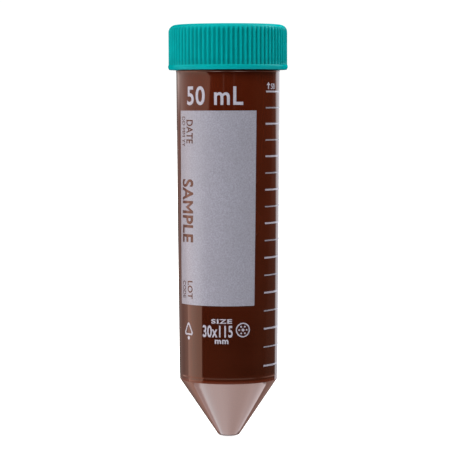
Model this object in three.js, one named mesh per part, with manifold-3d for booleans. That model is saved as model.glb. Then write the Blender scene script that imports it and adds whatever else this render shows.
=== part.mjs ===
// Conical-bottom screw-cap centrifuge tube, 50 mL, with its cap screwed home.
// Millimetres, +Z up along the tube's axis, origin at the centre of the small
// flat on the tip. The writing panel is on the -Y side. Azimuths are measured
// from -Y towards +X, counter-clockwise seen from above.
import * as THREE from 'three';
import { mergeVertices } from 'three/addons/utils/BufferGeometryUtils.js';
import Module from 'manifold-3d';

const wasm = await Module();
wasm.setup();

const { mapLinear } = THREE.MathUtils;
const DEG = Math.PI / 180;
const TURN = 2 * Math.PI;

// ---- driving dimensions ---------------------------------------------------

// outside of the tube
const TIP_FLAT_R = 2.4;
const CONE_R0 = 2.81;          // cone radius carried down to z = 0
const CONE_SLOPE = 0.6726;     // radius gained per mm of height, 33.9 degree half angle
const SHOULDER_Z = 16.25;      // cone meets the shoulder
const STEP_Z = 17.85;          // small step above the shoulder
const WALL_R_BOTTOM = 13.93;   // at the step
const WALL_MID_Z = 60;
const WALL_R_MID = 14.34;
const WALL_TOP_Z = 103.3;
const WALL_R_TOP = 14.60;      // under the collar
const COLLAR_R = 14.80;
const COLLAR_TOP_Z = 104.15;
const NECK_R = 14.35;          // thread root
const RIM_Z = 115.1;           // open end of the tube

// hollow of the tube
const BORE_BOTTOM_Z = 1.25;
const BORE_TIP_R = 1.45;
const BORE_CONE_TOP_Z = 15.95;
const BORE_R_BOTTOM = 12.18;
const BORE_R_TOP = 13.46;      // from the collar to the rim
const RIM_BORE_R = BORE_R_TOP + 0.15;

// screw threads, right hand, single start; each z is mid-ridge at its lower end
const PITCH = 3.4;
const TUBE_THREAD_CREST_R = 15.35;
const TUBE_THREAD_Z = 106.6;
const TUBE_THREAD_TURNS = 1.6;
const TUBE_THREAD_BURIED = 0.35;   // depth of the ridge's foot inside the neck
const CAP_THREAD_CREST_R = 14.62;
const CAP_THREAD_Z = 105.6;
const CAP_THREAD_TURNS = 1.5;
const CAP_THREAD_BURIED = 0.3;     // depth of the ridge's foot inside the skirt
const RIDGE_ROOT_W = 1.45;         // axial width at the wall
const RIDGE_CREST_W = 0.65;        // axial width at the crest
const RUN_OUT_TURNS = 0.09;        // length of each end that sinks into the wall
const RUN_OUT_SINK = 0.35;         // share of the buried depth the crest sinks to

// cap
const CAP_BOTTOM_Z = 104.35;
const CAP_TOP_Z = 117.1;
const FLANGE_R = 17.0;
const FLANGE_TOP_Z = 105.65;
const RIB_COUNT = 78;
const RIB_CREST_R = 16.83;
const RIB_VALLEY_R = 16.38;
const RIB_TOP_Z = 114.6;       // where the top edge starts to round over
const ROUNDED_R = RIB_CREST_R - 1.25;   // where the ribs have faded out
const TOP_FLAT_R = 14.5;
const CAP_BORE_R = 15.65;
const CAP_MOUTH_R = CAP_BORE_R + 0.25;
const DECK_UNDERSIDE_Z = 115.6;

// seal ring under the cap's deck, entering the tube's bore
const SEAL_OUTER_R = 13.36;
const SEAL_INNER_R = 12.4;
const SEAL_BOTTOM_Z = 112.6;
const SEAL_TOP_Z = 115.55;

// printed layers; spans are [start, end] azimuths in degrees
const INK_GAP = 0.02;
const INK_THICK = 0.06;
const PANEL_Z = [38.15, 93.0];
const PANEL_SPAN_LOW = [-68.4, 31.6];
const PANEL_SPAN_HIGH = [-65.3, 33.8];
const MARK_Z = [               // middle of each mark, from 45 mL down to 5 mL
  98.24, 93.71, 89.22, 84.69, 80.12, 75.44, 70.73, 65.99, 61.32,
  56.46, 51.61, 46.68, 41.77, 36.66, 31.60, 26.42, 21.09,
];
const MARK_FIRST_ML = 45;
const MARK_STEP_ML = 2.5;
const TOP_MARK_START = 47.3;
const BOTTOM_MARK_START = 45.0;
const MAJOR_MARK = { end: 112, width: 0.50 };
const MINOR_MARK = { end: 98, width: 0.38 };

// facets per turn
const N_WALL = 72;
const N_BORE = 54;
const N_THREAD = 54;
const N_RING = 54;

const WELD_DISTANCE = 1e-5;
const CUT_OVERSHOOT = 2;       // how far a cutting solid reaches past an open end

const FINISHES = {
  tube: { color: 0x4a1d12, roughness: 0.28 },
  cap: { color: 0x00a8a4, roughness: 0.42 },
  seal: { color: 0x00a09c, roughness: 0.45 },
  panel: { color: 0xb7b4bf, roughness: 0.6 },
  mark: { color: 0xc4bfc6, roughness: 0.6 },
};

// ---- mesh helpers ---------------------------------------------------------

const pointAt = (azimuth, radius, z) => [
  radius * Math.sin(azimuth),
  -radius * Math.cos(azimuth),
  z,
];

// Vertex indices of the two triangles of a quad, split from its first corner.
const quad = (a, b, c, d) => [a, b, c, a, c, d];

function signedVolume(position, triangles) {
  return triangles.reduce((sum, triangle) => {
    const [a, b, c] = triangle.map((i) => new THREE.Vector3().fromBufferAttribute(position, i));
    return sum + a.dot(b.cross(c));
  }, 0);
}

// Merges coincident vertices, drops collapsed triangles and faces the rest outwards.
function weld(geometry) {
  const welded = mergeVertices(geometry, WELD_DISTANCE);
  const { index } = welded;
  const triangles = [];
  for (let i = 0; i < index.count; i += 3) {
    const triangle = [index.getX(i), index.getX(i + 1), index.getX(i + 2)];
    if (new Set(triangle).size === 3) triangles.push(triangle);
  }
  if (signedVolume(welded.attributes.position, triangles) < 0) {
    triangles.forEach((triangle) => triangle.reverse());
  }
  welded.setIndex(triangles.flat());
  return welded;
}

function meshFrom(coordinates, indices) {
  const geometry = new THREE.BufferGeometry();
  geometry.setAttribute('position', new THREE.Float32BufferAttribute(coordinates, 3));
  geometry.setIndex(indices);
  return weld(geometry);
}

// Closed profile [radius, z] spun about Z. A profile either starts and ends on
// the axis, or comes back to its first point.
function spin(profile, segments) {
  const points = profile.map(([radius, z]) => new THREE.Vector2(radius, z));
  const geometry = new THREE.LatheGeometry(points, segments);
  geometry.rotateX(Math.PI / 2);
  // normals and uvs would keep the seam's vertices apart
  geometry.deleteAttribute('normal');
  geometry.deleteAttribute('uv');
  return weld(geometry);
}

function toSolid(geometry) {
  return new wasm.Manifold(new wasm.Mesh({
    numProp: 3,
    vertProperties: geometry.attributes.position.array,
    triVerts: new Uint32Array(geometry.index.array),
  }));
}

function fromSolid(solid) {
  const mesh = solid.getMesh();
  return meshFrom(mesh.vertProperties, Array.from(mesh.triVerts));
}

// ---- screw threads --------------------------------------------------------

// A helical ridge of trapezoid section on a wall of radius rootR. Its foot, at
// buriedR, is inside the wall, and its crest sinks into the wall at each end.
function threadRidge({ buriedR, rootR, crestR, zStart, turns, startAzimuth }) {
  const steps = Math.round(turns * N_THREAD);
  const runOutSteps = Math.round(N_THREAD * RUN_OUT_TURNS);
  const flankSlope = (RIDGE_ROOT_W - RIDGE_CREST_W) / 2 / Math.abs(crestR - rootR);
  const buriedW = RIDGE_ROOT_W + 2 * flankSlope * Math.abs(rootR - buriedR);
  const sunkR = rootR + (buriedR - rootR) * RUN_OUT_SINK;

  const coordinates = [];
  for (let i = 0; i <= steps; i++) {
    const rise = Math.min(1, i / runOutSteps, (steps - i) / runOutSteps);
    const topR = sunkR + (crestR - sunkR) * rise;
    const azimuth = startAzimuth + (i / N_THREAD) * TURN;
    const z = zStart + (i / N_THREAD) * PITCH;
    coordinates.push(
      ...pointAt(azimuth, buriedR, z - buriedW / 2),
      ...pointAt(azimuth, topR, z - RIDGE_CREST_W / 2),
      ...pointAt(azimuth, topR, z + RIDGE_CREST_W / 2),
      ...pointAt(azimuth, buriedR, z + buriedW / 2),
    );
  }

  const last = 4 * steps;
  const indices = [...quad(0, 3, 2, 1), ...quad(last, last + 1, last + 2, last + 3)];
  for (let i = 0; i < steps; i++) {
    for (let k = 0; k < 4; k++) {
      const here = 4 * i + k;
      const next = 4 * i + (k + 1) % 4;
      indices.push(...quad(next, next + 4, here + 4, here));
    }
  }
  return meshFrom(coordinates, indices);
}

// ---- tube -----------------------------------------------------------------

// The straight wall: [z, outside radius].
const WALL_STATIONS = [
  [STEP_Z, WALL_R_BOTTOM],
  [WALL_MID_Z, WALL_R_MID],
  [WALL_TOP_Z, WALL_R_TOP],
];

const coneR = (z) => CONE_R0 + CONE_SLOPE * z;

function tubeOutside() {
  return spin([
    [0, 0],
    [TIP_FLAT_R, 0],
    [coneR(0) + 0.04, 0.28],   // rounding between the flat and the cone
    [coneR(1.0), 1.0],
    [coneR(SHOULDER_Z), SHOULDER_Z],
    [WALL_R_BOTTOM - 0.10, SHOULDER_Z + 0.55],
    [WALL_R_BOTTOM - 0.08, STEP_Z - 0.35],
    ...WALL_STATIONS.map(([z, radius]) => [radius, z]),
    [COLLAR_R, WALL_TOP_Z + 0.2],
    [COLLAR_R, COLLAR_TOP_Z],
    [NECK_R, COLLAR_TOP_Z + 0.15],
    [NECK_R, RIM_Z - 0.3],     // bevel on the outside of the rim
    [NECK_R - 0.2, RIM_Z],
    [0, RIM_Z],
  ], N_WALL);
}

function tubeBore() {
  return spin([
    [0, BORE_BOTTOM_Z],
    [BORE_TIP_R, BORE_BOTTOM_Z + 0.15],
    [BORE_R_BOTTOM, BORE_CONE_TOP_Z],
    [BORE_R_TOP, COLLAR_TOP_Z],
    [BORE_R_TOP, RIM_Z - 0.25],   // bevel on the inside of the rim
    [RIM_BORE_R, RIM_Z],
    [RIM_BORE_R, RIM_Z + CUT_OVERSHOOT],
    [0, RIM_Z + CUT_OVERSHOOT],
  ], N_BORE);
}

function tube() {
  const thread = threadRidge({
    buriedR: NECK_R - TUBE_THREAD_BURIED,
    rootR: NECK_R,
    crestR: TUBE_THREAD_CREST_R,
    zStart: TUBE_THREAD_Z,
    turns: TUBE_THREAD_TURNS,
    startAzimuth: 0,
  });
  return fromSolid(toSolid(tubeOutside()).add(toSolid(thread)).subtract(toSolid(tubeBore())));
}

// ---- cap ------------------------------------------------------------------

// A closed stack of rings [z, crest radius, valley radius], bottom to top. Each
// ring has two vertices per rib, a crest and a valley.
function ribbedStack(rings) {
  const count = 2 * RIB_COUNT;
  const coordinates = [];
  for (const [z, crestR, valleyR] of rings) {
    for (let i = 0; i < count; i++) {
      coordinates.push(...pointAt((i / count) * TURN, i % 2 === 0 ? crestR : valleyR, z));
    }
  }
  const topRing = (rings.length - 1) * count;
  const bottomCentre = rings.length * count;
  const topCentre = bottomCentre + 1;
  coordinates.push(0, 0, rings[0][0]);
  coordinates.push(0, 0, rings[rings.length - 1][0]);

  const indices = [];
  for (let i = 0; i < count; i++) {
    const next = (i + 1) % count;
    for (let base = 0; base < topRing; base += count) {
      const above = base + count;
      indices.push(...quad(base + i, base + next, above + next, above + i));
    }
    indices.push(bottomCentre, next, i);
    indices.push(topCentre, topRing + i, topRing + next);
  }
  return meshFrom(coordinates, indices);
}

function capOutside() {
  return ribbedStack([
    [CAP_BOTTOM_Z, FLANGE_R - 0.2, FLANGE_R - 0.2],
    [CAP_BOTTOM_Z + 0.45, FLANGE_R, FLANGE_R],
    [FLANGE_TOP_Z - 0.15, FLANGE_R - 0.05, FLANGE_R - 0.05],
    [FLANGE_TOP_Z + 0.05, RIB_CREST_R, RIB_VALLEY_R],
    [RIB_TOP_Z, RIB_CREST_R - 0.03, RIB_VALLEY_R],
    [CAP_TOP_Z - 1.15, RIB_CREST_R - 0.45, RIB_VALLEY_R - 0.30],
    [CAP_TOP_Z - 0.40, ROUNDED_R, ROUNDED_R],
    [CAP_TOP_Z, TOP_FLAT_R, TOP_FLAT_R],
  ]);
}

function capHollow() {
  return spin([
    [0, CAP_BOTTOM_Z - CUT_OVERSHOOT],
    [CAP_MOUTH_R, CAP_BOTTOM_Z - CUT_OVERSHOOT],
    [CAP_MOUTH_R, CAP_BOTTOM_Z],
    [CAP_BORE_R, CAP_BOTTOM_Z + 0.3],
    [CAP_BORE_R, DECK_UNDERSIDE_Z - 0.5],   // bevel into the deck
    [CAP_BORE_R - 0.5, DECK_UNDERSIDE_Z],
    [0, DECK_UNDERSIDE_Z],
  ], N_BORE);
}

function cap() {
  // The cap's helix lies half a pitch below the tube's at every azimuth.
  const helixZAtZero = TUBE_THREAD_Z - PITCH / 2;
  const thread = threadRidge({
    buriedR: CAP_BORE_R + CAP_THREAD_BURIED,
    rootR: CAP_BORE_R,
    crestR: CAP_THREAD_CREST_R,
    zStart: CAP_THREAD_Z,
    turns: CAP_THREAD_TURNS,
    startAzimuth: ((CAP_THREAD_Z - helixZAtZero) / PITCH) * TURN,
  });
  return fromSolid(toSolid(capOutside()).subtract(toSolid(capHollow())).add(toSolid(thread)));
}

function sealRing() {
  return spin([
    [SEAL_INNER_R, SEAL_TOP_Z],
    [SEAL_INNER_R + 0.1, SEAL_BOTTOM_Z],
    [SEAL_OUTER_R - 0.35, SEAL_BOTTOM_Z],   // lead-in taper
    [SEAL_OUTER_R, SEAL_BOTTOM_Z + 0.7],
    [SEAL_OUTER_R - 0.05, SEAL_TOP_Z],
    [SEAL_INNER_R, SEAL_TOP_Z],
  ], N_RING);
}

// ---- printed layers on the wall -------------------------------------------

const FACET = 360 / N_WALL;    // degrees
const START_CLEARANCE = 0.05;  // facets from a layer's start to its first inside column
const END_CLEARANCE = 0.3;     // degrees from its last inside column to its end

function wallRadius(z) {
  const [bottom, middle, top] = WALL_STATIONS;
  const [[z0, r0], [z1, r1]] = z <= WALL_MID_Z ? [bottom, middle] : [middle, top];
  return mapLinear(z, z0, z1, r0, r1);
}

// Radius, at an azimuth in degrees, of a plane lifted off the wall facet there.
function facetRadius(degrees, z, lift) {
  const facetMiddle = (Math.floor(degrees / FACET + 1e-9) + 0.5) * FACET;
  const flatDistance = wallRadius(z) * Math.cos((FACET / 2) * DEG) + lift;
  return flatDistance / Math.cos((degrees - facetMiddle) * DEG);
}

// A thin layer that follows the wall's facets. Its azimuth span runs linearly
// from spanLow at zLow to spanHigh at zHigh.
function printedLayer({ zLow, zHigh, spanLow, spanHigh }) {
  const edgeAt = (z, side) => mapLinear(z, zLow, zHigh, spanLow[side], spanHigh[side]);
  const wallBreaks = WALL_STATIONS.map(([z]) => z).filter((z) => z > zLow && z < zHigh);
  const rows = [zLow, ...wallBreaks, zHigh];

  const facetEdges = [];
  const first = Math.ceil(Math.max(spanLow[0], spanHigh[0]) / FACET + START_CLEARANCE);
  const limit = Math.min(spanLow[1], spanHigh[1]) - END_CLEARANCE;
  for (let i = first; i * FACET < limit; i++) facetEdges.push(i * FACET);

  const coordinates = [];
  for (const z of rows) {
    for (const degrees of [edgeAt(z, 0), ...facetEdges, edgeAt(z, 1)]) {
      for (const lift of [INK_GAP, INK_GAP + INK_THICK]) {
        coordinates.push(...pointAt(degrees * DEG, facetRadius(degrees, z, lift), z));
      }
    }
  }

  const lastCol = facetEdges.length + 1;
  const lastRow = rows.length - 1;
  const inner = (row, col) => (row * (lastCol + 1) + col) * 2;
  const outer = (row, col) => inner(row, col) + 1;
  const indices = [];
  for (let j = 0; j < lastRow; j++) {
    const k = j + 1;
    for (let i = 0; i < lastCol; i++) {
      indices.push(...quad(outer(j, i), outer(j, i + 1), outer(k, i + 1), outer(k, i)));
      indices.push(...quad(inner(j, i), inner(k, i), inner(k, i + 1), inner(j, i + 1)));
    }
    indices.push(...quad(inner(j, 0), outer(j, 0), outer(k, 0), inner(k, 0)));
    indices.push(
      ...quad(outer(j, lastCol), inner(j, lastCol), inner(k, lastCol), outer(k, lastCol)),
    );
  }
  for (let i = 0; i < lastCol; i++) {
    const k = i + 1;
    indices.push(...quad(inner(0, i), inner(0, k), outer(0, k), outer(0, i)));
    indices.push(
      ...quad(outer(lastRow, i), outer(lastRow, k), inner(lastRow, k), inner(lastRow, i)),
    );
  }
  return meshFrom(coordinates, indices);
}

function writingPanel() {
  const [zLow, zHigh] = PANEL_Z;
  return printedLayer({ zLow, zHigh, spanLow: PANEL_SPAN_LOW, spanHigh: PANEL_SPAN_HIGH });
}

// Marks alternate major and minor, starting with a major one at the top.
function graduation(z, i) {
  const { end, width } = i % 2 === 0 ? MAJOR_MARK : MINOR_MARK;
  const start = mapLinear(i, 0, MARK_Z.length - 1, TOP_MARK_START, BOTTOM_MARK_START);
  const span = [start, end];
  return printedLayer({
    zLow: z - width / 2, zHigh: z + width / 2, spanLow: span, spanHigh: span,
  });
}

// ---- assembly -------------------------------------------------------------

const group = new THREE.Group();

function addPiece(name, geometry, finish) {
  geometry.computeVertexNormals();
  const material = new THREE.MeshStandardMaterial({ ...finish, metalness: 0 });
  const mesh = new THREE.Mesh(geometry, material);
  mesh.name = name;
  group.add(mesh);
}

addPiece('tube', tube(), FINISHES.tube);
addPiece('cap', cap(), FINISHES.cap);
addPiece('plug_seal_ring', sealRing(), FINISHES.seal);
addPiece('writing_panel', writingPanel(), FINISHES.panel);
MARK_Z.forEach((z, i) => {
  const label = String(MARK_FIRST_ML - i * MARK_STEP_ML).replace('.', '_');
  addPiece(`graduation_${label}_ml`, graduation(z, i), FINISHES.mark);
});

export default group;
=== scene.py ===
import math

import bmesh
import bpy
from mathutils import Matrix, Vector


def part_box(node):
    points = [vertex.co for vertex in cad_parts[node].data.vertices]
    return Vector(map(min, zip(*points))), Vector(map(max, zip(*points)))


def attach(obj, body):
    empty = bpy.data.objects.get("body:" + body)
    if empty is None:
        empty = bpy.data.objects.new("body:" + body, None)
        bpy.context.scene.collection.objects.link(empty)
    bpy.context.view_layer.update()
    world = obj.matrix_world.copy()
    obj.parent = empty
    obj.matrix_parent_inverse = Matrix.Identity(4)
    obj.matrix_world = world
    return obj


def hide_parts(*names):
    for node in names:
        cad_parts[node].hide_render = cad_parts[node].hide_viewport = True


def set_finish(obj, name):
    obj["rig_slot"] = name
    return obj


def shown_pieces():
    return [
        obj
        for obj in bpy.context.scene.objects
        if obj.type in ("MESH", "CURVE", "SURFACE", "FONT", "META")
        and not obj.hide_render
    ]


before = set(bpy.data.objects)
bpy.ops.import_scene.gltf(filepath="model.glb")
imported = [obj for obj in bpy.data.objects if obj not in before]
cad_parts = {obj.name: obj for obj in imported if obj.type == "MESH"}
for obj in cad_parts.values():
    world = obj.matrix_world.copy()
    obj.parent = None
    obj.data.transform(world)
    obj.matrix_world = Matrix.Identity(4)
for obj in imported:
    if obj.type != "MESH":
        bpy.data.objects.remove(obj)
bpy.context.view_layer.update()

MM = 0.001
DEG = math.pi / 180

# ------------------------------------------------------------------ sizes, mm


def span(node):
    """The two corners of a CAD piece's box."""
    lo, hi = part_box(node)
    return lo / MM, hi / MM


cap_lo, cap_hi = span("cap")
seal_lo, seal_hi = span("plug_seal_ring")
RIM_Z = span("tube")[1].z
CAP_BOTTOM_Z, CAP_TOP_Z = cap_lo.z, cap_hi.z
FLANGE_R = cap_hi.x
SEAL_BOTTOM_Z, SEAL_TOP_Z = seal_lo.z, seal_hi.z

CONE_TIP_R, CONE_SLOPE = 2.92, 0.6726
WALL = [(17.85, 14.00), (60.0, 14.41), (103.3, 14.67)]  # (z, outer radius)
COLLAR_R, COLLAR_TOP_Z = 14.765, 104.15
NECK_R, BORE_TOP_R, BORE_BOTTOM_R = 14.35, 13.46, 12.18
NECK_START_Z, NECK_ROW = 104.7, 0.11

PITCH = 3.4
THREAD_FADE = 0.10              # turns over which a thread rises at each end
THREAD_FLANK = (0.26, 0.78)     # height from the ridge's middle to its crest edge and foot
TUBE_THREAD_CREST_R, TUBE_THREAD_Z, TUBE_THREAD_TURNS = 15.35, 106.6, 1.6
CAP_THREAD_CREST_R, CAP_THREAD_Z, CAP_THREAD_TURNS = 14.62, 105.6, 1.5
CAP_THREAD_PHASE = (CAP_THREAD_Z - (TUBE_THREAD_Z - PITCH / 2)) / PITCH * 2 * math.pi

CAP_BORE_R, DECK_Z = 15.65, 115.6
CAP_BORE_TOP_Z, CAP_BORE_BOTTOM_Z, CAP_BORE_ROW = 112.2, 104.75, 0.17
RIBS = 78
RIB_CREST_R = FLANGE_R - 0.13
RIB_DEPTH = 0.52
RIB_PHASE = 3.5 * DEG
GROOVE_FLANK = (0.18, 0.80)     # share of the half groove where its floor ends and its crest starts
RIB_BLEND = 0.06                # softness of the groove's run-out
RIB_INNER_R = 14.9              # no ribs inside this radius

TUBE_COLUMNS, CAP_COLUMNS, SEAL_COLUMNS = 240, RIBS * 8, 192


def wall_r(z):
    for (z0, r0), (z1, r1) in zip(WALL, WALL[1:]):
        if z <= z1:
            return r0 + (r1 - r0) * (z - z0) / (z1 - z0)
    return WALL[-1][1]


def cone_r(z):
    return CONE_TIP_R + CONE_SLOPE * z


# ------------------------------------------------------------------ mesh tools


def smoothstep(low, high, x):
    share = max(0.0, min(1.0, (x - low) / (high - low)))
    return share * share * (3 - 2 * share)


def rotated(x, y, angle):
    cos, sin = math.cos(angle), math.sin(angle)
    return x * cos - y * sin, x * sin + y * cos


def rounded(points, steps=7):
    """(r, z) or (r, z, corner radius) to a polyline whose corners are arcs."""
    out = []
    for i, point in enumerate(points):
        fillet = point[2] if len(point) > 2 else 0
        if not fillet or i in (0, len(points) - 1):
            out.append(point[:2])
            continue
        corner = Vector(point[:2])
        back = Vector(points[i - 1][:2]) - corner
        ahead = Vector(points[i + 1][:2]) - corner
        room = 0.49 * back.length, 0.49 * ahead.length
        back.normalize()
        ahead.normalize()
        half = back.angle(ahead) / 2
        cut = min(fillet / math.tan(half), *room)
        fillet = cut * math.tan(half)
        centre = corner + (back + ahead).normalized() * (fillet / math.sin(half))
        first, last = corner + back * cut - centre, corner + ahead * cut - centre
        sweep = math.atan2(first.x * last.y - first.y * last.x, first.dot(last))
        for k in range(steps + 1):
            spoke = Vector(rotated(first.x, first.y, sweep * k / steps))
            out.append((centre.x + spoke.x, centre.y + spoke.y))
    return out


def refine(points, step):
    out = [points[0]]
    for a, b in zip(points, points[1:]):
        parts = max(1, math.ceil(math.dist(a, b) / step))
        for k in range(1, parts + 1):
            out.append((a[0] + (b[0] - a[0]) * k / parts, a[1] + (b[1] - a[1]) * k / parts))
    return out


def link(name, mesh, body, slot, *replaced):
    obj = bpy.data.objects.new(name, mesh)
    bpy.context.scene.collection.objects.link(obj)
    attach(obj, body)
    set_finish(obj, slot)
    if replaced:
        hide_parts(*replaced)
    return obj


def turned(name, rows, columns, loop=False):
    """A surface of revolution from (r, z) rows. r may be a function of (azimuth, z); 0 is a pole."""
    angles = [2 * math.pi * k / columns for k in range(columns)]
    directions = [(math.sin(angle), -math.cos(angle)) for angle in angles]
    verts, rings = [], []
    for radius, z in rows:
        start = len(verts)
        if not callable(radius) and radius < 1e-6:
            rings.append([start])
            verts.append((0, 0, z * MM))
            continue
        for angle, (x, y) in zip(angles, directions):
            here = radius(angle, z) if callable(radius) else radius
            verts.append((here * x * MM, here * y * MM, z * MM))
        rings.append(list(range(start, start + columns)))
    faces = []
    for a, b in list(zip(rings, rings[1:])) + ([(rings[-1], rings[0])] if loop else []):
        for k in range(columns):
            j = (k + 1) % columns
            if len(a) == 1:
                faces.append((a[0], b[j], b[k]))
            elif len(b) == 1:
                faces.append((a[k], a[j], b[0]))
            else:
                faces.append((a[k], a[j], b[j], b[k]))
    mesh = bpy.data.meshes.new(name)
    mesh.from_pydata(verts, [], faces)
    mesh.validate()
    mesh.shade_smooth()
    return mesh


def ridge_height(azimuth, z, start_z, turns, phase, height):
    """Height of a helical ridge of trapezoid section at an azimuth and z."""
    best = 0.0
    turn = ((azimuth - phase) / (2 * math.pi)) % 1.0
    while turn <= turns:
        off = abs(z - (start_z + turn * PITCH))
        fade = smoothstep(0, THREAD_FADE, turn) * smoothstep(0, THREAD_FADE, turns - turn)
        best = max(best, height * fade * (1 - smoothstep(*THREAD_FLANK, off)))
        turn += 1.0
    return best


# ------------------------------------------------------------------ the tube


def neck_r(azimuth, z):
    return NECK_R + ridge_height(
        azimuth, z, TUBE_THREAD_Z, TUBE_THREAD_TURNS, 0.0, TUBE_THREAD_CREST_R - NECK_R)


def build_tube():
    # (r, z, corner radius), from the tip up the outside
    outer = refine(rounded([
        (0, 0), (cone_r(0), 0, 0.95), (cone_r(16.36), 16.36, 0.25),
        (13.95, 16.95, 0.3), (13.935, 17.60, 0.10), (wall_r(17.98), 17.98, 0.10),
        (wall_r(60), 60), (wall_r(103.70), 103.70, 0.03), (COLLAR_R - 0.012, 103.82, 0.04),
        (COLLAR_R, COLLAR_TOP_Z, 0.10), (NECK_R, COLLAR_TOP_Z + 0.15, 0.1), (NECK_R, 104.6),
    ]), 1.4)
    # over the rim and down the bore
    inner = refine(rounded([
        (NECK_R, RIM_Z - 0.45), (NECK_R, RIM_Z, 0.34), (BORE_TOP_R, RIM_Z, 0.34),
        (BORE_TOP_R, COLLAR_TOP_Z, 2.0), (BORE_BOTTOM_R, 15.95, 2.5), (1.5, 1.35, 0.9), (0, 1.25),
    ]), 1.6)
    neck_rows = int((RIM_Z - 0.5 - NECK_START_Z) / NECK_ROW)
    neck = [(neck_r, NECK_START_Z + NECK_ROW * k) for k in range(neck_rows)]
    mesh = turned("tube_body", outer + neck + inner, TUBE_COLUMNS)
    link("tube_body", mesh, "tube", "tube_brown_pp", "tube")


build_tube()

# ------------------------------------------------------------------ the cap


def groove(azimuth):
    share = ((azimuth - RIB_PHASE) * RIBS / (2 * math.pi)) % 1.0
    return RIB_DEPTH * (1 - smoothstep(*GROOVE_FLANK, abs(share - 0.5) * 2))


def ribbed(smooth_r):
    """A soft minimum, so each groove runs out into the rounded top edge."""
    def radius(azimuth, z):
        floor_r = RIB_CREST_R - groove(azimuth)
        near = max(RIB_BLEND - abs(smooth_r - floor_r), 0.0) / RIB_BLEND
        return min(smooth_r, floor_r) - near * near * RIB_BLEND * 0.25
    return radius


def cap_bore_r(azimuth, z):
    return CAP_BORE_R - ridge_height(
        azimuth, z, CAP_THREAD_Z, CAP_THREAD_TURNS, CAP_THREAD_PHASE,
        CAP_BORE_R - CAP_THREAD_CREST_R)


def build_cap():
    deck_under = rounded([
        (0, DECK_Z), (15.0, DECK_Z, 0.3), (CAP_BORE_R, DECK_Z - 0.6, 0.3), (CAP_BORE_R, 112.4)])
    bore_rows = int((CAP_BORE_TOP_Z - CAP_BORE_BOTTOM_Z) / CAP_BORE_ROW)
    bore = [(cap_bore_r, CAP_BORE_TOP_Z - CAP_BORE_ROW * k) for k in range(bore_rows)]
    lip = rounded([
        (CAP_BORE_R, 104.72), (CAP_BORE_R + 0.28, CAP_BOTTOM_Z, 0.12),
        (FLANGE_R - 0.32, CAP_BOTTOM_Z, 0.10), (FLANGE_R, CAP_BOTTOM_Z + 0.62, 0.25),
        (FLANGE_R, CAP_BOTTOM_Z + 1.15, 0.18), (RIB_CREST_R, CAP_BOTTOM_Z + 1.34, 0.05),
        (RIB_CREST_R, CAP_BOTTOM_Z + 1.5),
    ], 4)[:-1]
    side = refine([(RIB_CREST_R, CAP_BOTTOM_Z + 1.42), (RIB_CREST_R, CAP_TOP_Z - 4.7)], 1.6)
    edge = rounded([
        (RIB_CREST_R, CAP_TOP_Z - 4.6), (RIB_CREST_R, CAP_TOP_Z, 2.15), (12.0, CAP_TOP_Z)], 20)
    skirt = [(ribbed(r) if r > RIB_INNER_R else r, z) for r, z in side + edge]
    # (r, depth) in to a shallow dimple at the centre
    top = [(r, CAP_TOP_Z - depth) for r, depth in (
        (9, 0), (6, 0), (3, 0), (1.5, 0), (1.35, 0.12), (0.6, 0.14), (0, 0.14))]
    mesh = turned("cap_body", deck_under + bore + lip + skirt + top, CAP_COLUMNS)
    link("cap_body", mesh, "cap", "cap_teal_hdpe", "cap")


def build_seal():
    section = rounded([
        (12.45, SEAL_TOP_Z), (12.5, SEAL_BOTTOM_Z, 0.12), (13.0, SEAL_BOTTOM_Z, 0.15),
        (13.36, SEAL_BOTTOM_Z + 0.7, 0.6), (13.28, SEAL_TOP_Z), (12.9, SEAL_TOP_Z),
    ], 5)
    mesh = turned("plug_seal", section, SEAL_COLUMNS, loop=True)
    link("plug_seal", mesh, "seal_ring", "seal_teal_hdpe", "plug_seal_ring")


build_cap()
build_seal()

# ------------------------------------------------------------------ print tools
# Flat artwork in millimetres, as closed outlines of (x, y), is filled, cut into
# narrow strips and wrapped on the wall as thin closed solids.

INK_BASE, INK_TOP = 0.006, 0.040    # heights of the ink's two faces off the wall
STRIP_WIDTH, STRIP_HEIGHT = 0.4, 4.0


def pairs(loop):
    """Each point of a closed loop with the next one."""
    return list(zip(loop, loop[1:] + loop[:1]))


def twice_area(loop):
    return sum(a[0] * b[1] - b[0] * a[1] for a, b in pairs(loop))


def strips(flat):
    """Cuts fine enough to follow the wall: narrow round it, longer up it."""
    for axis, step in ((0, STRIP_WIDTH), (1, STRIP_HEIGHT)):
        places = [vert.co[axis] for vert in flat.verts]
        low, high = min(places), max(places)
        parts = math.ceil((high - low) / step)
        for k in range(1, parts):
            point, normal = [0, 0, 0], [0, 0, 0]
            point[axis], normal[axis] = low + (high - low) * k / parts, 1
            geom = flat.verts[:] + flat.edges[:] + flat.faces[:]
            bmesh.ops.bisect_plane(flat, geom=geom, dist=1e-6, plane_co=point, plane_no=normal)


def upright(flat):
    """Turns every island of a flat bmesh up, its slivers with their neighbours."""
    bmesh.ops.recalc_face_normals(flat, faces=flat.faces[:])
    seen = set()
    for first_face in flat.faces[:]:
        if first_face in seen:
            continue
        seen.add(first_face)
        island, area = [first_face], 0.0
        for face in island:
            area += twice_area([vert.co for vert in face.verts])
            for other in (f for e in face.edges for f in e.link_faces if f not in seen):
                seen.add(other)
                island.append(other)
        if area < 0:
            bmesh.ops.reverse_faces(flat, faces=island)


def curve_bmesh(curve):
    """A bmesh of a curve, which is then removed."""
    holder = bpy.data.objects.new(curve.name, curve)
    bpy.context.scene.collection.objects.link(holder)
    bpy.context.view_layer.update()
    depsgraph = bpy.context.evaluated_depsgraph_get()
    mesh = bpy.data.meshes.new_from_object(holder.evaluated_get(depsgraph))
    out = bmesh.new()
    out.from_mesh(mesh)
    bpy.data.objects.remove(holder)
    bpy.data.curves.remove(curve)
    bpy.data.meshes.remove(mesh)
    return out


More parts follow.
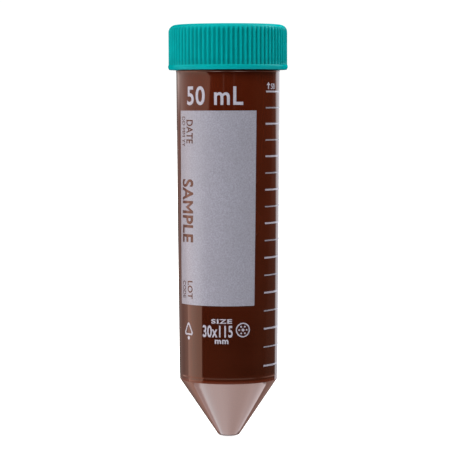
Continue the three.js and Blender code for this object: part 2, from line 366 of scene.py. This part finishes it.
def filled(loops):
    """A flat bmesh filling closed outlines by the even-odd rule."""
    curve = bpy.data.curves.new("fill", "CURVE")
    curve.dimensions = "2D"
    curve.fill_mode = "BOTH"
    for loop in loops:
        spline = curve.splines.new("POLY")
        spline.points.add(len(loop) - 1)
        for point, (x, y) in zip(spline.points, loop):
            point.co = (x, y, 0, 1)
        spline.use_cyclic_u = True
    return curve_bmesh(curve)


def wrapped(name, loops, place, *replaced):
    """Outlines to a thin closed solid on the wall. place(x, y) gives (azimuth, z)."""
    flat = filled(loops)
    bmesh.ops.remove_doubles(flat, verts=flat.verts[:], dist=1e-5)
    strips(flat)
    bmesh.ops.remove_doubles(flat, verts=flat.verts[:], dist=2e-4)
    bmesh.ops.triangulate(flat, faces=[face for face in flat.faces if len(face.verts) > 4])
    upright(flat)
    flat.verts.index_update()
    verts = []
    for lift in (INK_BASE, INK_TOP):
        for vert in flat.verts:
            azimuth, z = place(vert.co.x, vert.co.y)
            radius = wall_r(z) + lift
            verts.append((
                radius * math.sin(azimuth) * MM, -radius * math.cos(azimuth) * MM, z * MM))
    count = len(flat.verts)
    faces = []
    for face in flat.faces:
        ids = [vert.index for vert in face.verts]
        faces.append([i + count for i in ids])
        faces.append(ids[::-1])
    for edge in flat.edges:
        if len(edge.link_faces) == 1:
            for corner in edge.link_faces[0].loops:
                if corner.edge == edge:
                    a, b = corner.vert.index, corner.link_loop_next.vert.index
                    faces.append([a, b, b + count, a + count])
    flat.free()
    mesh = bpy.data.meshes.new(name)
    mesh.from_pydata(verts, [], faces)
    mesh.validate()
    link(name, mesh, "tube", "print_white", *replaced)


def inside(point, loop):
    x, y = point
    hit = False
    for (x0, y0), (x1, y1) in pairs(loop):
        if (y0 > y) != (y1 > y) and x < x0 + (y - y0) / (y1 - y0) * (x1 - x0):
            hit = not hit
    return hit


def distinct(loop):
    return [a for a, b in pairs(loop) if math.dist(a, b) > 1e-4]


def heavier(loops, growth):
    """Outlines with their ink grown on every side. Edges that would turn over are closed up."""
    out = []
    for loop in loops:
        points = distinct(loop)
        is_hole = sum(inside(loop[0], other) for other in loops if other is not loop) % 2 == 1
        offset = growth if (twice_area(points) > 0) != is_hole else -growth
        grown = []
        for i, point in enumerate(points):
            before = Vector(point) - Vector(points[i - 1])
            after = Vector(points[(i + 1) % len(points)]) - Vector(point)
            normal = Vector((before.y, -before.x)).normalized()
            both = normal + Vector((after.y, -after.x)).normalized()
            mitre = both.normalized() if both.length > 1e-6 else normal
            grown.append(tuple(Vector(point) + mitre * (offset / max(0.6, mitre.dot(normal)))))
        for i in range(len(points)):
            j = (i + 1) % len(points)
            (ax, ay), (bx, by) = grown[i], grown[j]
            (x0, y0), (x1, y1) = points[i], points[j]
            if (bx - ax) * (x1 - x0) + (by - ay) * (y1 - y0) <= 0:
                grown[i] = grown[j] = ((ax + bx) / 2, (ay + by) / 2)
        out.append(distinct(grown))
    return out


def extent(loops):
    xs = [x for loop in loops for x, y in loop]
    ys = [y for loop in loops for x, y in loop]
    return min(xs), max(xs), min(ys), max(ys)


def word(text, size=3.0, spacing=1.0, bold=0.0, width=None, height=None):
    """Outlines of a word in the built-in font, centred on its ink and scaled to fit."""
    curve = bpy.data.curves.new("word", "FONT")
    curve.body = text
    curve.size = size
    curve.space_character = spacing
    curve.align_x, curve.align_y = "CENTER", "CENTER"
    curve.resolution_u = 5
    curve.fill_mode = "NONE"
    wires = curve_bmesh(curve)
    loops, seen = [], set()
    for start in wires.verts:
        if start in seen or not start.link_edges:
            continue
        loop, vert = [], start
        while vert is not None:
            seen.add(vert)
            loop.append((vert.co.x, vert.co.y))
            neighbours = [edge.other_vert(vert) for edge in vert.link_edges]
            vert = next((other for other in neighbours if other not in seen), None)
        if len(loop) > 2:
            loops.append(loop)
    wires.free()
    if bold:
        loops = heavier(loops, bold)
    left, right, low, high = extent(loops)
    mid_x, mid_y = (left + right) / 2, (low + high) / 2
    loops = [[(x - mid_x, y - mid_y) for x, y in loop] for loop in loops]
    left, right, low, high = extent(loops)
    scale_y = height / (high - low)
    scale_x = width / (right - left) if width else scale_y
    return [[(x * scale_x, y * scale_y) for x, y in loop] for loop in loops]


def rectangle(left, bottom, right, top):
    return [(left, bottom), (right, bottom), (right, top), (left, top)]


def circle(radius, steps, x=0.0, y=0.0):
    angles = [2 * math.pi * k / steps for k in range(steps)]
    return [(x + radius * math.cos(angle), y + radius * math.sin(angle)) for angle in angles]


def at(azimuth, mid_z, radius=None):
    """Places artwork centred at an azimuth and z."""
    radius = radius or wall_r(mid_z)
    return lambda x, y: (azimuth + x / radius, mid_z + y)


def azimuths(node, z=None):
    """Lowest and highest azimuth of a CAD piece, or of its vertices near z."""
    places = [vert.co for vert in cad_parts[node].data.vertices]
    if z is not None:
        places = [co for co in places if z - 0.1 <= co.z / MM <= z + 0.1]
    found = [math.atan2(co.x, -co.y) for co in places]
    return min(found), max(found)


# ------------------------------------------------------------------ writing panel
# Its field names are left open so the wall shows through.

panel_lo, panel_hi = span("writing_panel")
low_left, low_right = azimuths("writing_panel", panel_lo.z)
high_left, high_right = azimuths("writing_panel", panel_hi.z)
PANEL_BOTTOM, PANEL_TOP = panel_lo.z + 0.16, panel_hi.z - 0.10
PANEL_WIDTH, PANEL_HEIGHT = 24.8, PANEL_TOP - PANEL_BOTTOM
HALF_W, HALF_H = PANEL_WIDTH / 2, PANEL_HEIGHT / 2

# text, letter height, x from the left edge, y below the top edge, length, bold
PANEL_WORDS = [
    ("DATE", 2.7, 4.5, 5.9, 6.6, 0.10),
    ("DD MM YY", 1.6, 1.75, 5.9, 8.4, 0.08),
    ("SAMPLE", 5.0, 3.6, 28.1, 17.8, 0.125),
    ("LOT", 2.2, 4.75, 50.4, 5.1, 0.11),
    ("CODE", 1.7, 1.95, 50.4, 4.9, 0.08),
]


def on_panel(x, y):
    share = (y + HALF_H) / PANEL_HEIGHT
    left = low_left + (high_left - low_left) * share
    right = low_right + (high_right - low_right) * share - 0.25 / wall_r(PANEL_BOTTOM)
    return left + (right - left) * (x + HALF_W) / PANEL_WIDTH, PANEL_BOTTOM + y + HALF_H


def down(text, height, from_left, from_top, length, bold):
    """A word reading downwards, its letters' tops towards +X."""
    out = []
    for loop in word(text, 4.0, 1.05, bold, length, height):
        turned_loop = [rotated(x, y, -math.pi / 2) for x, y in loop]
        out.append([(x + (from_left - HALF_W), y + (HALF_H - from_top)) for x, y in turned_loop])
    return out


art = [rectangle(-HALF_W, -HALF_H, HALF_W, HALF_H)]
for entry in PANEL_WORDS:
    art += down(*entry)
wrapped("writing_panel_ink", art, on_panel, "writing_panel")

# ------------------------------------------------------------------ volume marks

for name in sorted(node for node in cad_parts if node.startswith("graduation_")):
    lo, hi = span(name)
    left, right = azimuths(name)
    mid_z, width = (lo.z + hi.z) / 2, hi.z - lo.z
    radius = wall_r(mid_z)
    half = (right - left) * radius / 2
    mark = rectangle(-half - 0.22, -width / 2, half, width / 2)
    wrapped(name + "_ink", [mark], at((left + right) / 2, mid_z - 0.05, radius), name)

# numbers beside the long marks
for ml in range(45, 0, -5):
    node = f"graduation_{ml}_ml"
    lo, hi = span(node)
    mid_z = (lo.z + hi.z) / 2
    digits = word(str(ml), bold=0.03, height=2.1)
    azimuth = azimuths(node)[1] + (0.9 + extent(digits)[1]) / wall_r(mid_z)
    wrapped(f"number_{ml}", digits, at(azimuth, mid_z))

# an arrow and "50" above the highest number
mark_45_z = span("graduation_45_ml")[1].z
ARROW = [
    (-0.26, -0.95), (0.26, -0.95), (0.26, 0.12), (0.82, 0.12), (0, 0.98), (-0.82, 0.12),
    (-0.26, 0.12)]
wrapped("print_arrow", [ARROW], at(50.6 * DEG, mark_45_z + 1.35))
wrapped("print_50", word("50", bold=0.05, height=1.6), at(59.2 * DEG, mark_45_z + 1.15))

# ------------------------------------------------------------------ labels and signs

# capacity above the panel, nominal size below it
# name, text, font size, spacing, bold, width, height, azimuth in degrees, z
LABELS = [
    ("print_capacity", "50 mL", 6.0, 1.1, 0.10, 17.4, 5.3, -17.3, 97.05),
    ("print_size_title", "SIZE", 2.0, 1.15, 0.07, 5.9, 1.3, -8.0, 34.06),
    ("print_size", "30x115", 4.0, 1.05, 0.095, 8.7, 3.4, -13.0, 31.2),
    ("print_size_unit", "mm", 2.0, 1.1, 0.07, 3.9, 1.2, -8.0, 28.3),
]
for name, text, *style, azimuth, z in LABELS:
    wrapped(name, word(text, *style), at(azimuth * DEG, z))

# a plain rotor pictogram: a ring, a hub and six wells
WELL_CIRCLE_R = 1.08
rotor = [circle(2.05, 56), circle(1.72, 56), circle(0.42, 24)]
for k in range(6):
    angle = k * math.pi / 3
    rotor.append(circle(0.26, 18, WELL_CIRCLE_R * math.cos(angle), WELL_CIRCLE_R * math.sin(angle)))
wrapped("print_rotor_sign", rotor, at(16.6 * DEG, 31.6))


def rounded_triangle(size, corner_r):
    angles = [k * 2 * math.pi / 3 for k in range(3)]
    points = [Vector((size * math.sin(angle), size * math.cos(angle))) for angle in angles]
    out = []
    for i, corner in enumerate(points):
        back = (points[i - 1] - corner).normalized()
        ahead = (points[(i + 1) % 3] - corner).normalized()
        centre = corner + (back + ahead).normalized() * corner_r / math.sin(math.pi / 6)
        first = corner + back * (corner_r / math.tan(math.pi / 6)) - centre
        for k in range(9):
            x, y = rotated(first.x, first.y, -k / 8 * (2 * math.pi / 3))
            out.append((centre.x + x, centre.y + y))
    return out


# an open rounded triangle, slightly narrowed, with a dot
TRIANGLE_AZIMUTH, TRIANGLE_NARROWING = -52.6 * DEG, 0.92
triangle = [
    [(x * TRIANGLE_NARROWING, y) for x, y in rounded_triangle(size, corner_r)]
    for size, corner_r in ((2.75, 0.6), (1.85, 0.3))]
wrapped("print_triangle", triangle, at(TRIANGLE_AZIMUTH, 31.1))
wrapped("print_triangle_dot", [circle(0.5, 24)], at(TRIANGLE_AZIMUTH, 28.9))

# ------------------------------------------------------------------ shader tools


class Net:
    """Builds shader nodes. Apart from new and the put methods, each returns outputs."""

    def __init__(self, tree):
        self.tree = tree
        tree.nodes.clear()

    def new(self, kind, **props):
        node = self.tree.nodes.new(kind)
        for key, value in props.items():
            setattr(node, key, value)
        return node

    def put(self, socket, value):
        if isinstance(value, bpy.types.NodeSocket):
            self.tree.links.new(value, socket)
        elif isinstance(value, tuple) and len(value) == 3 and socket.type == "RGBA":
            socket.default_value = (*value, 1)
        else:
            socket.default_value = value

    def put_all(self, node, values):
        for key, value in values.items():
            self.put(node.inputs[key], value)

    def math(self, operation, *args, clamp=False):
        node = self.new("ShaderNodeMath", operation=operation, use_clamp=clamp)
        self.put_all(node, dict(enumerate(args)))
        return node.outputs[0]

    def mul(self, first, *others):
        for other in others:
            first = self.math("MULTIPLY", first, other)
        return first

    def ramp(self, value, over, to=(0.0, 1.0), kind="SMOOTHSTEP"):
        """Maps the two ends of over to the two ends of to."""
        node = self.new("ShaderNodeMapRange", interpolation_type=kind, clamp=True)
        self.put_all(node, dict(enumerate((value, *over, *to))))
        return node.outputs[0]

    def mix(self, share, a, b, blend="MIX"):
        node = self.new("ShaderNodeMix", data_type="RGBA", blend_type=blend)
        self.put_all(node, {0: share, 6: a, 7: b})
        return node.outputs[2]

    def noise(self, vector, scale, detail, rough=0.5):
        node = self.new("ShaderNodeTexNoise")
        self.put_all(node, {
            "Vector": vector, "Scale": scale, "Detail": detail, "Roughness": rough})
        return node.outputs["Fac"]

    def scaled(self, vector, factors):
        node = self.new("ShaderNodeVectorMath", operation="MULTIPLY")
        self.put_all(node, {0: vector, 1: factors})
        return node.outputs[0]

    def bump(self, height, distance, strength, normal=None):
        node = self.new("ShaderNodeBump")
        self.put_all(node, {"Strength": strength, "Distance": distance, "Height": height})
        if normal is not None:
            self.put(node.inputs["Normal"], normal)
        return node.outputs[0]

    def position(self):
        return self.new("ShaderNodeTexCoord").outputs["Object"]

    def split(self, vector):
        node = self.new("ShaderNodeSeparateXYZ")
        self.put(node.inputs[0], vector)
        return node.outputs

    def invert(self, value):
        return self.math("SUBTRACT", 1.0, value)

    def blend(self, share, a, b):
        return self.math("ADD", self.mul(a, self.invert(share)), self.mul(b, share))

    def band(self, value, span, soft):
        """1 within the span, with edges of the two soft widths."""
        (low, high), (soft_low, soft_high) = span, soft
        rise = self.ramp(
            self.math("SUBTRACT", value, low), over=(-soft_low / 2, soft_low / 2))
        fall = self.ramp(
            self.math("SUBTRACT", value, high), over=(-soft_high / 2, soft_high / 2), to=(1.0, 0.0))
        return self.mul(rise, fall)

    def table(self, value, span, points, scale=8.0):
        """Straight-line interpolation through (value, level) points, levels up to scale."""
        low, high = span
        node = self.new("ShaderNodeValToRGB")
        node.color_ramp.interpolation = "LINEAR"
        offset = self.math("SUBTRACT", value, low)
        self.put(node.inputs[0], self.math("DIVIDE", offset, high - low, clamp=True))
        stops = node.color_ramp.elements
        while len(stops) > 1:
            stops.remove(stops[0])
        for i, (place, level) in enumerate(points):
            share = (place - low) / (high - low)
            stop = stops[0] if i == 0 else stops.new(share)
            stop.position = share
            stop.color = (level / scale, level / scale, level / scale, 1)
        return self.mul(node.outputs[0], scale)


def material(name):
    mat = bpy.data.materials.new(name)
    mat.use_nodes = True
    net = Net(mat.node_tree)
    out = net.new("ShaderNodeOutputMaterial")
    bsdf = net.new("ShaderNodeBsdfPrincipled")
    net.put(out.inputs[0], bsdf.outputs[0])
    return mat, net, bsdf


def paint(obj, mat):
    obj.data.materials.clear()
    obj.data.materials.append(mat)


# ------------------------------------------------------------------ materials
# Object coordinates are in metres.


def brown_polypropylene():
    """Glossy, with a faint moulded waviness and fine draw marks."""
    mat, net, bsdf = material("brown_polypropylene")
    pos = net.position()
    cloud = net.noise(pos, scale=90, detail=3)
    streak = net.noise(net.scaled(pos, (1400, 1400, 22)), scale=1.0, detail=3, rough=0.6)
    # the wall's top and bottom colours; the bottom one is darker: painted shade
    upper, lower = (net.mix(net.ramp(cloud, over=(0.3, 0.7)), dark, pale) for dark, pale in (
        ((0.0468, 0.0060, 0.0015), (0.0558, 0.0075, 0.0021)),
        ((0.0264, 0.0048, 0.0017), (0.0317, 0.0059, 0.0022))))
    z = net.split(pos)[2]
    # painted shade: the wall darkens towards the bottom
    colour = net.mix(net.ramp(z, over=(0.015, 0.104), kind="LINEAR"), lower, upper)
    # a paler ring at the shoulder: painted light, as if lit from below
    ring = net.mul(
        net.ramp(z, over=(0.01625, 0.01640)), net.ramp(z, over=(0.01725, 0.01690)))
    colour = net.mix(net.ramp(z, over=(0.0190, 0.0179)), colour, (0.036, 0.0064, 0.0023))
    colour = net.mix(ring, colour, (0.066, 0.0112, 0.0042))
    waves = net.bump(cloud, distance=0.00002, strength=0.6)
    net.put_all(bsdf, {
        "Base Color": colour,
        "Roughness": net.ramp(streak, over=(0.25, 0.75), to=(0.036, 0.062)),
        "IOR": 1.49,
        "Specular IOR Level": 0.75,
        "Specular Tint": (1.0, 0.69, 0.54),
        "Normal": net.bump(streak, distance=0.000004, strength=0.5, normal=waves),
    })
    return mat


def teal_polyethylene():
    """Satin, slightly waxy, with a fine spark-eroded texture."""
    mat, net, bsdf = material("teal_polyethylene")
    pos = net.position()
    cloud = net.noise(pos, scale=160, detail=3)
    grain = net.noise(pos, scale=5200, detail=3, rough=0.6)
    colour = net.mix(net.ramp(cloud, over=(0.3, 0.7)), (0.0, 0.241, 0.245), (0.0, 0.265, 0.269))
    x, y, z = net.split(pos)
    radius = net.math("SQRT", net.math(
        "ADD", net.math("POWER", x, 2.0), net.math("POWER", y, 2.0)))
    # painted shade: the grooves between the ribs are darker
    painted_groove_shade = net.mul(
        net.ramp(radius, over=((RIB_CREST_R - 0.12) * MM, (RIB_CREST_R - RIB_DEPTH) * MM)),
        net.ramp(radius, over=(15.7 * MM, 16.2 * MM)),
        net.ramp(z, over=((CAP_TOP_Z - 0.6) * MM, (CAP_TOP_Z - 1.8) * MM)))
    colour = net.mix(net.mul(painted_groove_shade, 0.58), colour, (0.0, 0.10, 0.10))
    # painted shade at the foot of the ribs, painted light on the flange and the top edge
    base, top = CAP_BOTTOM_Z, CAP_TOP_Z
    painted_light_and_shade = net.mul(
        net.ramp(z, over=((base + 1.9) * MM, (base + 3.4) * MM), to=(0.86, 1.0)),
        net.ramp(z, over=((base + 1.30) * MM, (base + 1.25) * MM), to=(1.0, 1.16)),
        net.ramp(z, over=((top - 4.6) * MM, (top - 2.4) * MM), to=(1.0, 1.13)))
    colour = net.mix(painted_light_and_shade, (0.0, 0.0, 0.0), colour)
    roughness = net.ramp(grain, over=(0.3, 0.7), to=(0.42, 0.54))
    facing = net.new("ShaderNodeLayerWeight").outputs["Facing"]
    net.put_all(bsdf, {
        "Base Color": colour,
        "Roughness": roughness,
        "IOR": 1.45,
        "Specular IOR Level": net.ramp(facing, over=(0.20, 0.65), to=(0.13, 0.0)),
        "Specular Tint": (0.1, 1.0, 1.0),
        "Normal": net.bump(grain, distance=0.000012, strength=0.6),
    })
    return mat


def printing_ink(name, cover_low, cover_high, patchy):
    """White over brown, slightly uneven cover."""
    mat, net, bsdf = material(name)
    pos = net.position()
    cover = net.noise(pos, scale=2600, detail=4, rough=0.65)
    broad = net.noise(pos, scale=120, detail=2)
    colour = net.mix(net.ramp(cover, over=(0.25, 0.75)), cover_low, cover_high)
    colour = net.mix(net.ramp(broad, over=(0.35, 0.65), to=(0.0, 0.25)), colour, patchy)
    net.put_all(bsdf, {
        "Base Color": colour,
        "Roughness": net.ramp(cover, over=(0.2, 0.8), to=(0.19, 0.27)),
        "IOR": 1.5,
        "Specular IOR Level": 0.78,
        "Specular Tint": (0.86, 1.0, 1.1),
        "Normal": net.bump(cover, distance=0.000008, strength=0.5),
    })
    return mat


# colours of the thinnest cover, the thickest cover and the broad patches
INKS = {
    "thin": ((0.184, 0.184, 0.216), (0.268, 0.266, 0.313), (0.200, 0.196, 0.225)),
    "full": ((0.262, 0.258, 0.300), (0.370, 0.364, 0.427), (0.281, 0.273, 0.314)),
    "marks": ((0.215, 0.212, 0.247), (0.310, 0.305, 0.358), (0.232, 0.226, 0.260)),
    "faint": ((0.148, 0.149, 0.174), (0.215, 0.214, 0.252), (0.161, 0.158, 0.181)),
}


def ink_for(name):
    """The panel and the marks are printed thinner than the words."""
    if name == "writing_panel_ink":
        return "thin"
    if name.startswith("graduation_"):
        return "faint" if name.count("_") == 4 else "marks"
    return "full"


brown = brown_polypropylene()
teal = teal_polyethylene()
inks = {key: printing_ink("white_ink_" + key, *colours) for key, colours in INKS.items()}

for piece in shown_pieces():
    slot = piece.get("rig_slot")
    if slot == "tube_brown_pp":
        paint(piece, brown)
    elif slot in ("cap_teal_hdpe", "seal_teal_hdpe"):
        paint(piece, teal)
    elif slot == "print_white":
        paint(piece, inks[ink_for(piece.name)])

# ------------------------------------------------------------------ studio
# Soft boxes are painted on the world by direction, so nothing stands in the
# way of a camera on any side. Azimuths and elevations are in degrees.

world = bpy.data.worlds.new("studio")
bpy.context.scene.world = world
world.use_nodes = True
net = Net(world.node_tree)
x, y, z = net.split(net.new("ShaderNodeTexCoord").outputs["Generated"])
azimuth = net.math("DEGREES", net.math("ARCTAN2", x, net.mul(y, -1.0)))
elevation = net.math("DEGREES", net.math(
    "ARCSINE", net.math("MAXIMUM", net.math("MINIMUM", z, 1.0), -1.0)))

# where a downward direction meets a plane one unit below
stretch = net.math("DIVIDE", 1.0, net.math("MAXIMUM", net.mul(z, -1.0), 0.02))
table_x = net.mul(x, stretch)
table_y = net.mul(y, stretch)

ROUND, NEAR_LEVEL = (-180, 180), (-12, 4)   # azimuth and elevation ranges of the tables
lights = []


def light(mask, strength=1.0, tint=(1, 1, 1)):
    lights.append((mask, strength, tint))


low = net.ramp(elevation, over=(-0.6, -2.6))

# left soft box: its near edge leans, by (elevation, azimuth)
near_edge = net.mul(net.table(elevation, NEAR_LEVEL, [
    (-12, 66), (-7.5, 64.8), (-5.5, 63.2), (-0.35, 41.2), (0.7, 34.5), (4, 18.5)], 180.0), -1.0)
# (azimuth, brightness) of its upper and lower parts
left_high = net.table(azimuth, ROUND, [
    (-180, 0.0), (-161, 0.05), (-156, 0.5), (-152, 1.1), (-144, 1.18), (-137, 1.03),
    (-130, 0.97), (-125, 1.0), (-104, 0.88), (-66, 0.84), (-36, 0.97)])
left_low = net.table(azimuth, ROUND, [
    (-180, 0.04), (-167, 0.10), (-150, 0.33), (-141, 0.35), (-129, 0.42), (-119, 0.70),
    (-109.6, 1.05), (-108.6, 2.1), (-99, 1.93), (-92, 1.78), (-83, 1.66), (-74, 1.52),
    (-36, 1.52)])
box = net.mul(
    net.ramp(net.math("SUBTRACT", azimuth, near_edge), over=(0.4, -0.4)),
    net.band(elevation, span=(-13, 62), soft=(4, 20)))
low_left = net.blend(
    net.ramp(azimuth, over=(-128, -136)), low, net.ramp(elevation, over=(0.45, -0.9)))
far_low = net.mul(low_left, net.ramp(azimuth, over=(-90, -102)))
left_box = net.mul(box, net.blend(low_left, left_high, left_low))
light(net.mul(left_box, net.invert(far_low)), tint=(1.12, 1.0, 0.95))
light(net.mul(left_box, far_low), tint=(1.14, 0.88, 0.80))

# right: a dim panel, its edge by (elevation, azimuth)
dim_edge = net.table(elevation, NEAR_LEVEL, [
    (-12, 90), (-7, 98), (-2.8, 114), (0.6, 122), (4, 128)], 180.0)
dim = net.mul(
    net.ramp(net.math("SUBTRACT", azimuth, dim_edge), over=(-1.0, 1.0)),
    net.ramp(azimuth, over=(138, 136)),
    net.band(elevation, span=(-13, 40), soft=(4, 10)))
light(dim, net.ramp(elevation, over=(-6.0, 0.6), to=(0.05, 0.09)), tint=(1.2, 0.9, 0.8))
light(net.mul(
    net.band(azimuth, span=(60, 138), soft=(30, 4)),
    net.band(elevation, span=(-13, 40), soft=(4, 10))), strength=0.05, tint=(1.3, 0.8, 0.5))

# then a bright strip behind it: edge by (elevation, azimuth), level by (azimuth, brightness)
strip_edge = net.table(elevation, NEAR_LEVEL, [
    (-12, 140.5), (-7, 139.3), (-2.8, 138.2), (0.6, 134.0), (0.85, 133.5), (1.15, 120),
    (4, 118)], 180.0)
strip = net.table(azimuth, ROUND, [
    (120, 1.55), (150, 1.52), (162, 1.15), (174, 0.75), (179, 0.65), (180, 0.3)])
strip = net.mul(
    strip, net.ramp(net.math("SUBTRACT", azimuth, strip_edge), over=(-0.6, 1.6)))
light(net.mul(net.band(elevation, span=(-13, 50), soft=(4, 20)), strip), tint=(0.94, 0.98, 1.06))

# two thin slits in the gap between the boxes
for slit, brightness in (((-10.8, -8.8), 0.42), ((12.8, 14.8), 0.36)):
    light(net.band(elevation, span=(-1.4, 20), soft=(1.2, 8)),
          net.mul(net.band(azimuth, span=slit, soft=(0.6, 0.6)), brightness))

# lower sides by (azimuth, brightness), and the front of the table
side_low = net.table(azimuth, ROUND, [
    (-180, 0.04), (-170, 0.10), (-156, 0.27), (-150, 0.46), (-144, 0.68), (-138, 0.97),
    (-130, 1.2), (-124, 0.9), (-112, 0.95), (-106, 1.5), (-80, 1.3), (-66, 1.2), (-60, 0.03),
    (75, 0.03), (100, 0.45), (132, 0.58), (138, 0.60), (144, 0.50), (150, 0.46), (156, 0.40),
    (172, 0.15), (180, 0.04)])
below_zone = net.mul(
    net.ramp(z, over=(-0.30, -0.36)),
    net.band(table_x, span=(-0.90, 0.945), soft=(0.02, 0.03)),
    net.band(table_y, span=(-0.42, 0.96), soft=(0.06, 0.05)))
under = net.math(
    "SUBTRACT", net.ramp(elevation, over=(-12.5, -14.5)), below_zone, clamp=True)
light(net.mul(under, side_low), tint=(1.5, 1.0, 0.87))
light(net.mul(under, net.band(azimuth, span=(-60, 66), soft=(4, 30))), strength=0.48)

# below: a bright table, bluer to the left: (table x, red, green, blue)
TABLE_GLOW = [
    (-0.95, 2.3, 1.9, 1.9), (-0.85, 2.3, 1.9, 1.95), (-0.80, 2.75, 2.4, 2.5),
    (-0.77, 4.1, 4.2, 4.6), (-0.74, 5.0, 5.5, 6.3), (-0.70, 5.0, 5.7, 6.5),
    (-0.6, 4.87, 5.35, 6.15), (-0.45, 5.08, 5.44, 6.27), (-0.25, 5.29, 5.70, 6.63),
    (-0.1, 5.16, 5.49, 6.37), (0.02, 4.86, 5.10, 5.92), (0.15, 4.62, 4.71, 5.38),
    (0.3, 4.35, 4.35, 4.89), (0.5, 4.20, 4.06, 4.48), (0.65, 4.20, 4.03, 4.41),
    (0.77, 3.65, 3.47, 3.78), (0.88, 3.82, 3.70, 4.0), (0.96, 3.6, 3.4, 3.6)]
glows = [
    net.table(table_x, (-1, 1), [(row[0], row[channel]) for row in TABLE_GLOW])
    for channel in (1, 2, 3)]
# full only along a curved strip of the table: (distance to the side, reach)
reach = net.table(net.math("ABSOLUTE", table_x), (0, 1), [
    (0, 0.05), (0.16, 0.07), (0.27, 0.10), (0.39, 0.17), (0.5, 0.26), (0.64, 0.43),
    (0.75, 0.60), (0.86, 0.86), (0.93, 1.30)], 2.0)
beside = net.math("ABSOLUTE", net.math("SUBTRACT", net.math("ADD", table_y, 0.30), reach))
below_zone = net.mul(below_zone, net.ramp(beside, over=(0.16, 0.34), to=(1.0, 0.14)))
for glow, tint in zip(glows, ((1.0, 0.0, 0.0), (0.0, 1.0, 0.0), (0.0, 0.0, 1.0))):
    light(net.mul(below_zone, glow), tint=tint)

# above, and a little everywhere
light(net.ramp(elevation, over=(50, 75)), strength=0.7)
light(net.mul(
    net.band(azimuth, span=(-52, 26), soft=(30, 30)),
    net.band(elevation, span=(18, 54), soft=(8, 10))), strength=5.2)
light(net.mul(
    net.band(azimuth, span=(85, 165), soft=(20, 20)),
    net.band(elevation, span=(18, 42), soft=(8, 10))), strength=9.8)
light(1.0, net.ramp(elevation, over=(4, 30), to=(0.02, 0.16)))

total = None
for mask, strength, tint in lights:
    level = net.mul(mask, strength)
    combined = net.new("ShaderNodeCombineColor")
    for i in range(3):
        net.put(combined.inputs[i], net.mul(level, tint[i]))
    colour = combined.outputs[0]
    total = colour if total is None else net.mix(1.0, total, colour, blend="ADD")

# the camera itself sees plain white
studio = net.new("ShaderNodeBackground")
net.put(studio.inputs["Color"], total)
white = net.new("ShaderNodeBackground")
net.put_all(white, {"Color": (1, 1, 1), "Strength": 1.05})
path = net.new("ShaderNodeLightPath")
mixed = net.new("ShaderNodeMixShader")
net.put_all(mixed, {
    0: path.outputs["Is Camera Ray"], 1: studio.outputs[0], 2: white.outputs[0]})
net.put(net.new("ShaderNodeOutputWorld").inputs[0], mixed.outputs[0])
world.cycles.sampling_method = "MANUAL"
world.cycles.sample_map_resolution = 1024

# ------------------------------------------------------------------ floor
# Plain and pale; only the camera sees it. Sizes in metres.

FLOOR_HALF, FLOOR_Z, FLOOR_CELLS = 6.0, -0.0004, 24


def build_floor():
    cells, row = FLOOR_CELLS, FLOOR_CELLS + 1
    steps = [-FLOOR_HALF + 2 * FLOOR_HALF * i / cells for i in range(row)]
    corners = [j * row + i for j in range(cells) for i in range(cells)]
    mesh = bpy.data.meshes.new("floor")
    mesh.from_pydata(
        [(x, y, FLOOR_Z) for y in steps for x in steps], [],
        [(k, k + 1, k + row + 1, k + row) for k in corners])
    floor = bpy.data.objects.new("floor", mesh)
    bpy.context.scene.collection.objects.link(floor)
    mat, net, bsdf = material("pale_floor")
    net.put_all(bsdf, {
        "Base Color": (0.5, 0.5, 0.5), "Roughness": 0.9,
        "Emission Color": (1, 1, 1), "Emission Strength": 0.86})
    paint(floor, mat)
    for ray in ("glossy", "diffuse", "transmission", "shadow"):
        setattr(floor, "visible_" + ray, False)


build_floor()

# ------------------------------------------------------------------ camera

CAMERA_DISTANCE, CAMERA_HEIGHT = 0.5946, 0.09584                        # metres
CAMERA_DOWN, CAMERA_ROLL, CAMERA_PAN = 3.4276122, 0.1415, 0.08236091    # degrees

cam_data = bpy.data.cameras.new("camera")
cam_data.sensor_width = 36.0
cam_data.lens = 166.96
cam = bpy.data.objects.new("camera", cam_data)
bpy.context.scene.collection.objects.link(cam)
cam.location = (0, -CAMERA_DISTANCE, CAMERA_HEIGHT)
cam.rotation_euler = ((90 - CAMERA_DOWN) * DEG, CAMERA_ROLL * DEG, CAMERA_PAN * DEG)
bpy.context.scene.camera = cam
bpy.context.scene.view_settings.view_transform = "Standard"
bpy.context.scene.view_settings.look = "None"
